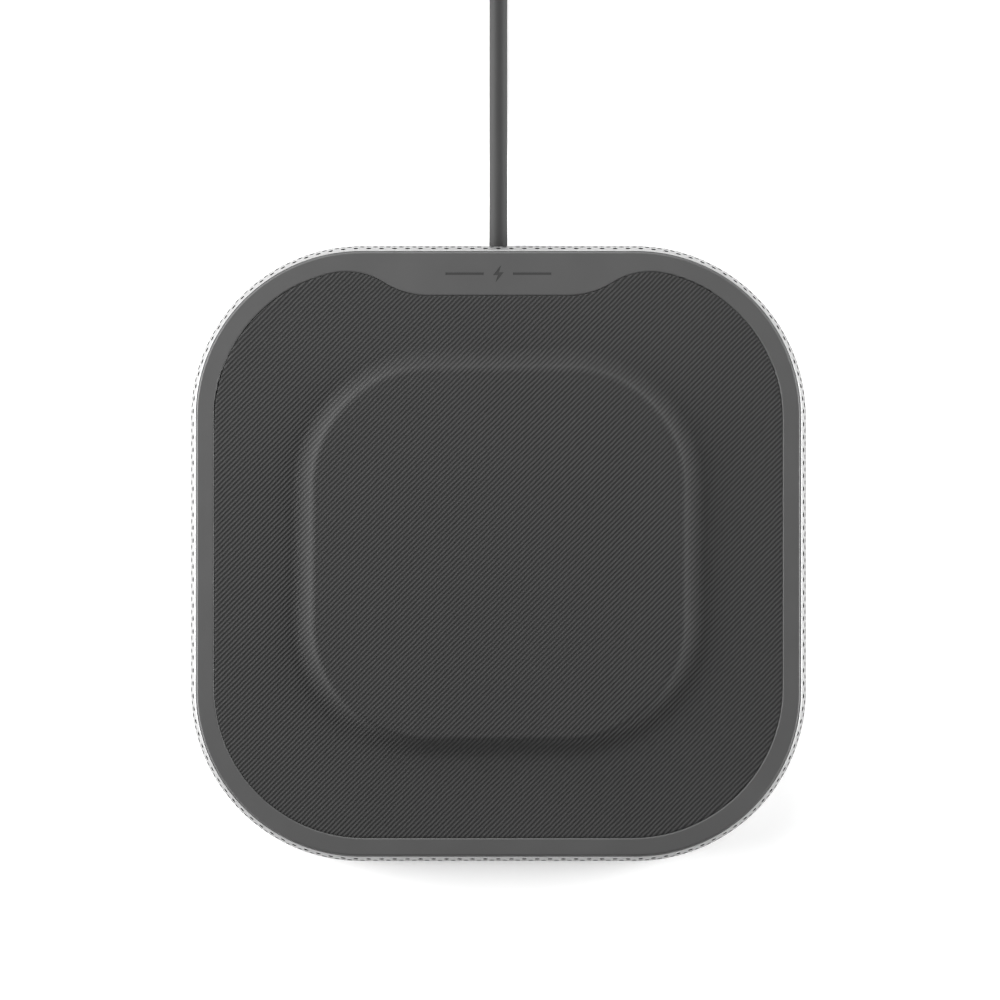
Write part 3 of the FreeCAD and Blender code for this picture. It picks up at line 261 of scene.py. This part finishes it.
def make_materials():
    """One material for each of the record's slots."""
    made = {
        "shell_plastic": moulded("shell_plastic", 0.030, 0.55, 0.25 * MM, 0.010 * MM),
        "liner_plastic": moulded("liner_plastic", 0.018, 0.7),
        "bezel_plastic": moulded("bezel_plastic", 0.058, 0.5, specular=0.4),
        "band_metal": metal("band_metal", (0.36, 0.36, 0.36), 0.5, (1, 1, 0.15), 0.12 * MM),
        "twill_cloth": twill("twill_cloth"),
        "backing_sheet": moulded("backing_sheet", 0.05, 0.6),
        "foot_rubber": moulded("foot_rubber", 0.022, 0.8, 0.12 * MM, 0.006 * MM),
        "tape": moulded("tape", 0.03, 0.4),
        "screw_steel": metal("screw_steel", (0.32, 0.32, 0.33), 0.35),
        "carrier_plastic": moulded("carrier_plastic", 0.6, 0.5),
        "ferrite": moulded("ferrite", 0.045, 0.6, 0.15 * MM, 0.01 * MM),
        "litz_copper": metal("litz_copper", (0.72, 0.32, 0.15), 0.35, (1, 1, 1), 0.12 * MM, 0.02 * MM),
        "lead_sleeve": moulded("lead_sleeve", 0.45, 0.45),
        "sensor_epoxy": moulded("sensor_epoxy", 0.03, 0.3),
        "board_laminate": moulded("board_laminate", 0.035, 0.3, 0.4 * MM, 0.004 * MM, -0.5),
        "chip_epoxy": moulded("chip_epoxy", 0.012, 0.55),
        "capacitor_body": moulded("capacitor_body", 0.35, 0.4, warm=0.35),
        "connector_plastic": moulded("connector_plastic", 0.75, 0.5, warm=0.06),
        "gap_silicone": moulded("gap_silicone", 0.3, 0.8, warm=-0.2),
        "cord_jacket": moulded("cord_jacket", 0.024, 0.65, 0.10 * MM, 0.004 * MM, specular=0.3),
        "tie_strap": moulded("tie_strap", 0.02, 0.85, 0.18 * MM, 0.05 * MM, specular=0.2),
        "plug_plastic": moulded("plug_plastic", 0.05, 0.5),
        "plug_steel": metal("plug_steel", (0.62, 0.61, 0.59), 0.25, (0.15, 1, 1)),
        "tongue_plastic": moulded("tongue_plastic", 0.012, 0.5),
        "contact_gold": metal("contact_gold", (0.83, 0.62, 0.3), 0.25),
    }
    for node in NODES.values():
        for place in node.material_slots:
            place.material = made[SLOT_OF[node.name]]
    return made


def slots_of_nodes():
    """Each CAD node's material slot, as the record says."""
    return {part["node"]: part["material_slot"] for part in frame["record"]["subparts"]}


# ---------------------------------------------------------------- meshes


SHARP = 35  # degrees; edges that turn more than this look sharp


def turned(x, y, angle):
    """The point (x, y), turned round the origin by so many radians."""
    return x * math.cos(angle) - y * math.sin(angle), x * math.sin(angle) + y * math.cos(angle)


def closed_mesh(name, vertices, faces):
    """A mesh whose faces all look outwards."""
    mesh = bpy.data.meshes.new(name)
    mesh.from_pydata([tuple(v) for v in vertices], [], faces)
    made = bmesh.new()
    made.from_mesh(mesh)
    bmesh.ops.recalc_face_normals(made, faces=made.faces)
    made.to_mesh(mesh)
    made.free()
    return mesh


def piece(name, vertices, faces, slot, sharp=SHARP):
    """A mesh piece on the pad's body, smooth except at edges sharper than so many degrees."""
    mesh = closed_mesh(name, vertices, faces)
    mesh.shade_smooth()
    mesh.set_sharp_from_angle(angle=math.radians(sharp))
    return dress(bpy.data.objects.new(name, mesh), slot)


def dress(thing, slot):
    """Links a piece, gives it its slot's material and lets it ride on the pad's body."""
    SCENE.collection.objects.link(thing)
    thing.data.materials.clear()
    thing.data.materials.append(MATERIALS[slot])
    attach(thing, "root")
    return thing


def loft(rings):
    """Faces between neighbouring closed rings of vertex numbers, all as long."""
    faces = []
    for near, far in zip(rings, rings[1:]):
        count = len(near)
        for i in range(count):
            j = (i + 1) % count
            faces.append((near[i], near[j], far[j], far[i]))
    return faces


def make_floor():
    mesh = bpy.data.meshes.new("floor")
    corners = [(x * FLOOR_HALF, y * FLOOR_HALF, 0) for x, y in [(-1, -1), (1, -1), (1, 1), (-1, 1)]]
    mesh.from_pydata(corners, [], [(0, 1, 2, 3)])
    floor = bpy.data.objects.new("floor", mesh)
    shader = Shader("floor_white", Roughness=0.9, Specular_IOR_Level=0.2)
    shader.colour(shader.noise(FLOOR_CLOUD, 2), (0.3, FLOOR_TONES[0]), (0.7, FLOOR_TONES[1]))
    # Painted light: the floor's emission grows with the distance from the pad and lightens the pad's shadows.
    x, y, _ = shader.coordinates()
    away = shader.maths("SQRT", shader.maths("MULTIPLY_ADD", x, x, shader.maths("MULTIPLY", y, y)))
    glow = shader.ramp(away, (FLOOR_NEAR, FLOOR_NEAR_GLOW), (FLOOR_FAR, FLOOR_FAR_GLOW))
    shader.link(glow, shader.principled.inputs["Emission Color"])
    shader.principled.inputs["Emission Strength"].default_value = 1
    mesh.materials.append(shader.material)
    SCENE.collection.objects.link(floor)


# ---------------------------------------------------------------- cord

# Its route, given as in the CAD model: from the grommet to the put-away coil, and on to the plug.
ROUTE = [(0, 54.75, 4.4), (0, 62.5, 4.4), (0, 76, 1.6), (0, 107, 1.6), (0, 116.5, 2.3), (0, 123, 2.3)]
TAIL = [(-40.4, 163.4, 5.6), (-45.2, 163.4, 5.6), (-51.2, 163.4, 4.0), (-56, 163.4, 4.0)]
CORD_RADIUS = 1.6
CORD_SIDES, CORD_STEPS = 6, 8  # how finely it is round, and how finely it bends
COIL_MIDDLE = (-26.4, 137.0)
COIL_OUT, COIL_IN = 26.4, 11.55  # radii of its outermost and its innermost turn
COIL_LOW, COIL_HIGH = 2.3, 5.6  # heights of its two layers
COIL_TURNS = 4.5  # in each of its two layers
POINTS_A_TURN = 16
COIL_SPREAD = 1 / math.cos(math.pi / POINTS_A_TURN) ** 2  # the spline runs that much inside its points
PLUG = ("plug_overmould", "plug_shell", "plug_tongue", "plug_contacts")
TIE_TURN = 215  # where on the coil its strap is, degrees
TIE_REACH = math.radians(15)  # the turns of the cord this close to its middle are under it
TIE_HALF, TIE_THICK, TIE_CORNER = 4.0, 0.6, 0.15  # its cross-section
TIE_INSIDE, TIE_GAP = 1.0, 0.125  # between it and the cord: at the coil's middle, and elsewhere
TIE_BEND, TIE_STEPS = 1.7, 8  # radius of its corners, and the steps round each
TIE_LIFT, TIE_CURL = 1.02, 0.5  # height of its loose end on the loop and its later rise, in thicknesses
# Shares along the loop's upper side, and of the strap's width there: a loose end with a round tip.
TIE_END = ((0, 1), (0.3, 1), (0.62, 1), (0.7, 0.94), (0.75, 0.8), (0.78, 0.6), (0.79, 0.4))


def coil_points():
    """The put-away coil: inwards in the lower layer, up a quarter turn, and outwards in the upper layer."""
    step = 2 * math.pi / POINTS_A_TURN
    layer = round(COIL_TURNS * POINTS_A_TURN)
    climb = POINTS_A_TURN // 4
    points = []
    for i in range(1, 2 * layer + climb):
        inwards, rise = min(i / layer, 1), min(max((i - layer) / climb, 0), 1)
        outwards = max((i - layer - climb) / layer, 0)
        radius = COIL_OUT + (COIL_IN - COIL_OUT) * (inwards - outwards)
        angle = i * step
        x = COIL_MIDDLE[0] + radius * COIL_SPREAD * math.cos(angle)
        y = COIL_MIDDLE[1] + radius * COIL_SPREAD * math.sin(angle)
        points.append((x, y, COIL_LOW + (COIL_HIGH - COIL_LOW) * rise))
    return points


def strap_rings(path, half_wide, thick, corner):
    """Rings of a strap's cross-section along the path of its inner face, whose entries are (distance, height,
    way out, share of its width); each ring is in (distance, across, height)."""
    rings = []
    for distance, height, out, narrow in path:
        half = half_wide * narrow
        section = [
            (0, -half + corner), (0, half - corner), (corner, half), (thick - corner, half),
            (thick, half - corner), (thick, -half + corner), (thick - corner, -half), (corner, -half),
        ]
        rings.append([(distance + out.x * rise, across, height + out.y * rise) for rise, across in section])
    return rings


def make_tie():
    """The hook-and-loop strap round one side of the coil, with its loose end on top."""
    turn = math.radians(TIE_TURN)
    aim = Vector((math.cos(turn), math.sin(turn)))
    ways = [Vector(point[:2]) - Vector(COIL_MIDDLE) for point in coil_points()]
    beside = [way.length / COIL_SPREAD for way in ways if way.angle(aim) < TIE_REACH]
    near, far = min(beside) - CORD_RADIUS - TIE_INSIDE, max(beside) + CORD_RADIUS + TIE_GAP
    low, high = TIE_THICK, COIL_HIGH + CORD_RADIUS + TIE_GAP
    path = []
    corners = [(far, high, 0), (near, high, 1), (near, low, 2), (far, low, 3)]
    for x, z, quarter in corners:
        inward = (TIE_BEND * (1 if x == near else -1), TIE_BEND * (1 if z == low else -1))
        for i in range(TIE_STEPS + 1):
            bend = (quarter + i / TIE_STEPS) * math.pi / 2
            out = Vector((math.cos(bend), math.sin(bend)))
            path.append((x + inward[0] + TIE_BEND * out.x, z + inward[1] + TIE_BEND * out.y, out, 1))
    loop = strap_rings(path, TIE_HALF, TIE_THICK, TIE_CORNER)
    tail, length = [], far - near - 2 * TIE_BEND
    for along, narrow in TIE_END:
        lift = TIE_THICK * (TIE_LIFT + TIE_CURL * max(along - 0.5, 0))
        tail.append((far - TIE_BEND - along * length, high + lift, Vector((0, 1)), narrow))
    end = strap_rings(tail, TIE_HALF, TIE_THICK, TIE_CORNER)
    vertices = []
    for ring in loop + end:
        for distance, across, height in ring:
            x, y = turned(distance, across, turn)
            vertices.append(Vector((COIL_MIDDLE[0] + x, COIL_MIDDLE[1] + y, height)) * MM)
    sides = len(loop[0])
    numbers = [list(range(sides * i, sides * (i + 1))) for i in range(len(loop) + len(end))]
    around, over = numbers[: len(loop)], numbers[len(loop) :]
    faces = loft(around + [around[0]]) + loft(over) + [over[0], over[-1]]
    tie = piece("tie", vertices, faces, "tie_strap", sharp=50)
    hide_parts("cord_tie")
    return tie


def make_cord():
    """The cord, one smooth curve from the grommet through the put-away coil to the plug."""
    curve = bpy.data.curves.new("cord", "CURVE")
    curve.dimensions = "3D"
    curve.bevel_depth = CORD_RADIUS * MM
    curve.bevel_resolution = CORD_SIDES
    curve.resolution_u = CORD_STEPS
    points = ROUTE + coil_points() + TAIL
    spline = curve.splines.new("NURBS")
    spline.points.add(len(points) - 1)
    for point, place in zip(spline.points, points):
        point.co = (*(Vector(place) * MM), 1)
    spline.order_u = 3
    spline.use_endpoint_u = True
    cord = dress(bpy.data.objects.new("cord", curve), "cord_jacket")
    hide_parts("cord_tube", "cord_coil", "cord_tail")
    [make_tie()] + [NODES[n] for n in PLUG]


# ---------------------------------------------------------------- cloth

CLOTH_FLAT = 10.3  # height of the cloth beside the plateau
CLOTH_THICK = 0.5
CLOTH_GAP = 0.02  # between it and the window's edge
CLOTH_SINK = 0.02  # how much lower its edge is
WINDOW_HALF, WINDOW_ROUND = 50.4, 26.65
TAB_EDGE, TAB_HALF, TAB_ROUND = 45.8, 12.4, 14.7  # the bezel's tab, which cuts into the window
LOBE_ROUND = 12.45  # the window's tighter bend beside the tab
RISE_HALF, RISE_AXIS = 36.7, 12.0  # half the width of the plateau's foot, and the axes of its corners
RISE_SWEEP, RISE_EDGE, RISE_RUN = 4.41, 1.47, 3.48  # radii of its flank and its edge, and the flank's width
CLOTH_STEPS = 60  # points on each eighth of the cloth's rings, and on each arc of the window
FLANK_STEPS, EDGE_STEPS = 16, 8
FLAT_SHARES = (0.999, 0.97, 0.85, 0.65, 0.45, 0.3, 0.18, 0.09, 0.03)  # rings from the hem in to the foot
TOP_SHARES = (0.94, 0.8, 0.6, 0.4, 0.2)  # rings from the plateau's edge in to its middle


def arc(centre, radius, start, end, steps):
    """Points along an arc, angles in radians, without its last one."""
    turns = [start + (end - start) * i / steps for i in range(steps)]
    return [Vector((centre[0] + radius * math.cos(t), centre[1] + radius * math.sin(t))) for t in turns]


def window_outline(gap):
    """The window's right half, from its front middle to its back middle: corner, side, corner, the lobe's
    arc and the tab's arc, each running smoothly into the next one."""
    half, radius = WINDOW_HALF - gap, WINDOW_ROUND - gap
    bend, lobe = TAB_ROUND + gap, LOBE_ROUND - gap
    flat = half - radius
    corner = Vector((flat, flat))
    tab = Vector((TAB_HALF, TAB_EDGE - gap + bend))
    across = tab - corner
    along = ((radius - lobe) ** 2 - (bend + lobe) ** 2 + across.length**2) / (2 * across.length)
    aside = math.sqrt((radius - lobe) ** 2 - along**2)
    across.normalize()
    middle = corner + across * along + Vector((across.y, -across.x)) * aside
    leave_corner = (middle - corner).angle_signed(Vector((1, 0)))
    leave_lobe = (tab - middle).angle_signed(Vector((1, 0)))
    points = [Vector((0, -half))]
    points += arc((flat, -flat), radius, -math.pi / 2, 0, CLOTH_STEPS)
    points += arc(corner, radius, 0, leave_corner, CLOTH_STEPS)
    points += arc(middle, lobe, leave_corner, leave_lobe, CLOTH_STEPS)
    points += arc(tab, bend, leave_lobe - math.pi, -math.pi / 2, CLOTH_STEPS)
    points += [Vector((TAB_HALF, TAB_EDGE - gap)), Vector((0, TAB_EDGE - gap))]
    return points


def along_ray(points, angle):
    """Where a ray from the middle at that angle meets an open outline."""
    ray = Vector((math.cos(angle), math.sin(angle)))
    for a, b in zip(points, points[1:]):
        side_a, side_b = ray.cross(a), ray.cross(b)
        if side_a <= 0 <= side_b and side_b > side_a:
            return a.lerp(b, side_a / (side_a - side_b))
    return points[-1]


def rise_profile():
    """The plateau's section, from its foot up a hollow flank and over a round edge, as (radius, height)."""
    lean = math.asin(RISE_RUN / RISE_SWEEP)
    foot = RISE_HALF - RISE_AXIS
    top = CLOTH_FLAT + (RISE_SWEEP + RISE_EDGE) * (1 - math.cos(lean))
    inner = foot - RISE_RUN - RISE_EDGE * math.sin(lean)
    flank = [lean * i / FLANK_STEPS for i in range(FLANK_STEPS + 1)]
    edge = [lean * (1 - i / EDGE_STEPS) for i in range(1, EDGE_STEPS + 1)]
    points = [(foot - RISE_SWEEP * math.sin(a), CLOTH_FLAT + RISE_SWEEP * (1 - math.cos(a))) for a in flank]
    points += [(inner + RISE_EDGE * math.sin(a), top - RISE_EDGE * (1 - math.cos(a))) for a in edge]
    return points


def rounded_square(axis, radius, steps):
    """A ring of 8 * steps points, from the middle of the +X side: half a side, a corner, half a side, and so
    on. A quarter of each eighth's points is on the straight stretch."""
    straight = steps // 4
    corner_steps = 2 * (steps - straight)
    ring = []
    for quarter in range(4):
        local = [Vector((axis + radius, axis * i / straight)) for i in range(straight)]
        local += arc((axis, axis), radius, 0, math.pi / 2, corner_steps)
        local += [Vector((axis - axis * i / straight, axis + radius)) for i in range(straight)]
        ring += [Vector(turned(p.x, p.y, quarter * math.pi / 2)) for p in local]
    return ring


def make_cloth():
    """The cloth over the whole top: one closed sheet, flat round the plateau and drawn up over it."""
    outline = window_outline(CLOTH_GAP)
    profile = rise_profile()
    foot = rounded_square(RISE_AXIS, profile[0][0], CLOTH_STEPS)
    hem = []
    for p in foot:
        q = along_ray(outline, math.atan2(p.y, abs(p.x)))
        hem.append(Vector((math.copysign(q.x, p.x), q.y)))
    upper = []
    for share in FLAT_SHARES:
        upper.append([(*a.lerp(b, share), CLOTH_FLAT) for a, b in zip(foot, hem)])
    for radius, height in profile:
        upper.append([(p.x, p.y, height) for p in rounded_square(RISE_AXIS, radius, CLOTH_STEPS)])
    top = upper[-1]
    for share in TOP_SHARES:
        upper.append([(x * share, y * share, z) for x, y, z in top])
    skirt = [(p.x, p.y, CLOTH_FLAT - CLOTH_SINK) for p in hem]
    lower = [[(p.x, p.y, CLOTH_FLAT - CLOTH_THICK) for p in hem]]
    lower += [[(x, y, z - CLOTH_THICK) for x, y, z in ring] for ring in upper]
    rings = list(reversed(lower)) + [skirt] + upper
    count = len(foot)
    vertices = [Vector(p) * MM for ring in rings for p in ring]
    numbers = [list(range(i * count, (i + 1) * count)) for i in range(len(rings))]
    faces = loft(numbers)
    for height, ring in ((rings[0][0][2], numbers[0]), (rings[-1][0][2], numbers[-1])):
        vertices.append(Vector((0, 0, height)) * MM)
        faces += [(ring[i - 1], ring[i], len(vertices) - 1) for i in range(count)]
    cloth = piece("cloth", vertices, faces, "twill_cloth", sharp=80)
    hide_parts("fabric_cover")


# ---------------------------------------------------------------- perforated band

BAND_AXIS = 24.4  # from the pad's middle to the axes of its corners, both ways
BAND_BULGE = 13.0  # radius of its barrel profile
BAND_MID = 4.4  # height of its widest line
BAND_THICK = 0.5
BAND_EDGE, BAND_BEVEL = 0.1, 0.3  # rounding of its edges, and where the bevel's middle is in it
HOLE_RADIUS = 0.45
HOLES_ROUND = 168  # in each row
HOLE_ROWS = 6
ROW_STEP = 1.15
TOP_ROW = 4.22  # from the widest line up to the top row, along the profile
CELL = [(-1, -1), (0, -1), (1, -1), (1, 0), (1, 1), (0, 1), (-1, 1), (-1, 0)]  # a cell's border
HOLE_SIDES = 2 * len(CELL)
CELL_START = 225  # direction of the border's first point from the cell's middle, degrees
OPENING_RADIUS, OPENING_SIDES = 2.68, 48
OPENING_MARGIN = 0.55  # at least this far from its edge to the middle of a hole
OPENING_REACH = 4  # how far its cutter reaches to both sides of the band's outer face


def make_band():
    """The barrel-shaped strip round the side: a lattice of cells with holes, and plain margins."""
    low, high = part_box("perforated_band")
    widest = high.x / MM - BAND_AXIS
    corner = widest * math.pi / 2
    quarter = 2 * BAND_AXIS + corner
    top = BAND_BULGE * math.asin((high.z / MM - BAND_MID) / BAND_BULGE)
    bottom = BAND_BULGE * math.asin((low.z / MM - BAND_MID) / BAND_BULGE)
    lattice_low = TOP_ROW - (HOLE_ROWS - 0.5) * ROW_STEP
    pitch = 4 * quarter / HOLES_ROUND

    def place(s, rise, depth):
        """The point so far round the band, so far up its profile and so deep under its outer face."""
        side, rest = divmod(s, quarter)
        tilt = rise / BAND_BULGE
        reach = widest - BAND_BULGE + (BAND_BULGE - depth) * math.cos(tilt)
        turn = min(max(rest - BAND_AXIS, 0), corner) / widest
        along = min(rest, BAND_AXIS)
        back = max(rest - BAND_AXIS - corner, 0)
        x = BAND_AXIS - back + reach * math.cos(turn)
        y = along + reach * math.sin(turn)
        height = BAND_MID + (BAND_BULGE - depth) * math.sin(tilt)
        return Vector((*turned(x, y, side * math.pi / 2), height))

    vertices, known, faces, walls = [], {}, [], []

    def vertex(s, rise, depth):
        key = (round(s % (4 * quarter), 4), round(rise, 4), depth)
        if key not in known:
            known[key] = len(vertices)
            vertices.append(place(s, rise, depth) * MM)
        return known[key]

    def cell(s, rise, pierced):
        """One cell of the lattice, on the band's outer and inner face, with or without its hole."""
        half, tall = pitch / 2, ROW_STEP / 2
        turns = [math.radians(CELL_START + 360 * i / HOLE_SIDES) for i in range(HOLE_SIDES)]
        rims = []
        for depth in (0, BAND_THICK):
            rim = [vertex(s + half * i, rise + tall * j, depth) for i, j in CELL]
            if not pierced:
                faces.append(rim)
                continue
            round_it = [(HOLE_RADIUS * math.cos(t), HOLE_RADIUS * math.sin(t)) for t in turns]
            hole = [vertex(s + i, rise + j, depth) for i, j in round_it]
            rims.append(hole)
            for i in range(len(CELL)):
                j = (i + 1) % len(CELL)
                faces.append([rim[i], rim[j], hole[2 * j], hole[2 * i + 1], hole[2 * i]])
        if pierced:
            walls.extend(loft(rims))

    for row in range(HOLE_ROWS):
        rise = TOP_ROW - row * ROW_STEP
        for i in range(HOLES_ROUND):
            s = (i + row % 2 / 2) * pitch
            aside = math.hypot(s - quarter, rise)
            cell(s, rise, aside > OPENING_RADIUS + OPENING_MARGIN)
    stations = [i * pitch / 2 for i in range(2 * HOLES_ROUND)]
    lattice_high = TOP_ROW + ROW_STEP / 2
    for start, end in ((lattice_high, top), (lattice_low, bottom)):
        inward = math.copysign(BAND_EDGE, start - end)
        edge = [
            (start, 0),
            (end + inward, 0),
            (end + inward * BAND_BEVEL, BAND_EDGE * BAND_BEVEL),
            (end, BAND_EDGE),
            (end, BAND_THICK - BAND_EDGE),
            (end + inward, BAND_THICK),
            (start, BAND_THICK),
        ]
        faces.extend(loft([[vertex(s, rise, depth) for s in stations] for rise, depth in edge]))
    band = piece("band", vertices, faces + walls, "band_metal")
    # The holes' walls get the dark liner plastic as painted shade, standing in for the shade deep inside the
    # holes.
    band.data.materials.append(MATERIALS["liner_plastic"])
    for face in band.data.polygons[len(faces) :]:
        face.material_index = 1
    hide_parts("perforated_band")
    cut_opening(band, high.y)


def cut_opening(band, back):
    """The round opening in the back of the band, where the cord's grommet sits."""
    vertices = []
    for y in (back - OPENING_REACH * MM, back + OPENING_REACH * MM):
        for i in range(OPENING_SIDES):
            t = 2 * math.pi * i / OPENING_SIDES
            x, z = OPENING_RADIUS * math.cos(t), BAND_MID + OPENING_RADIUS * math.sin(t)
            vertices.append((x * MM, y, z * MM))
    ends = [list(range(OPENING_SIDES)), list(range(OPENING_SIDES, 2 * OPENING_SIDES))]
    cutter = bpy.data.objects.new("opening", closed_mesh("opening", vertices, loft(ends) + ends))
    SCENE.collection.objects.link(cutter)
    cut = band.modifiers.new("opening", "BOOLEAN")
    cut.operation = "DIFFERENCE"
    cut.solver = "MANIFOLD"
    cut.object = cutter
    bpy.context.view_layer.update()
    shaped = band.evaluated_get(bpy.context.evaluated_depsgraph_get())
    band.data = bpy.data.meshes.new_from_object(shaped)
    band.modifiers.clear()
    band.data.set_sharp_from_angle(angle=math.radians(SHARP))
    bpy.data.objects.remove(cutter)


# ---------------------------------------------------------------- the scene

SLOT_OF = slots_of_nodes()
MATERIALS = make_materials()
make_camera()
make_lights()
make_floor()
make_cord()
make_cloth()
make_band()
